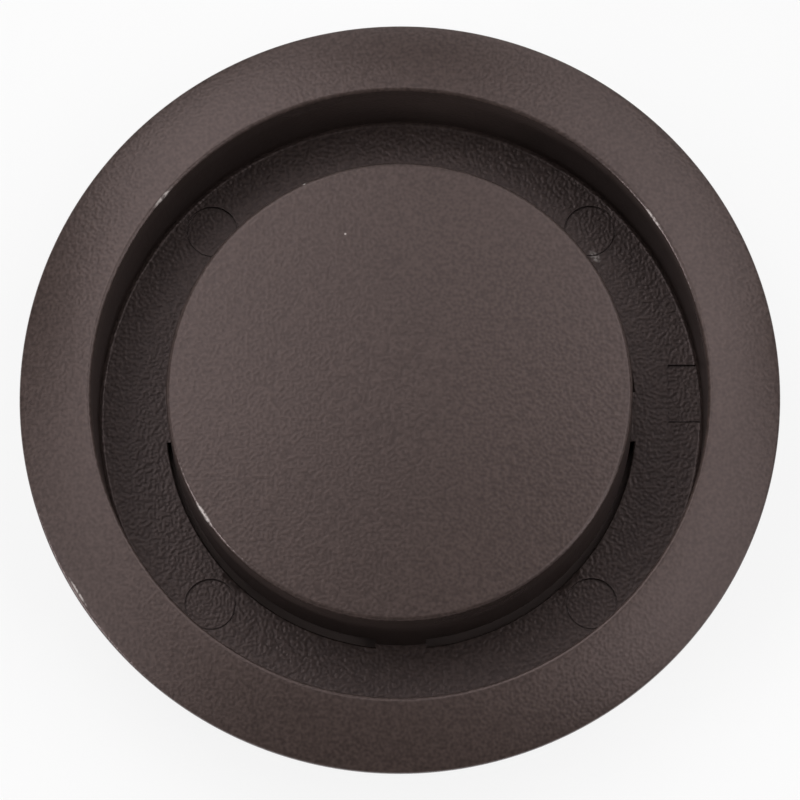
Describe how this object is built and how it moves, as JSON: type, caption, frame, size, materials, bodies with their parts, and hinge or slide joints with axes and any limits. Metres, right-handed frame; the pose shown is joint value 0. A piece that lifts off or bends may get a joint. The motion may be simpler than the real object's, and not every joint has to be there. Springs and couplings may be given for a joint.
{
  "type": "round air vent",
  "caption": "Round push-in air vent: crowned flange round a deep ring-shaped channel, with a plain domed disc and its skirt on four short legs over the opening.",
  "frame": {"origin": "on the axis, at the barrel's lower end", "axes": "+Z along the axis, out of the panel towards the room; +X through the leg that stands beside the small rectangular mark on the channel's floor"},
  "size_m": [0.06, 0.06, 0.0139],
  "materials": {
    "brown_plastic": "fine satin grain moulded into the faces, dark brown all through"
  },
  "bodies": {
    "root": {"vent_body": "brown_plastic"}
  },
  "joints": []
}
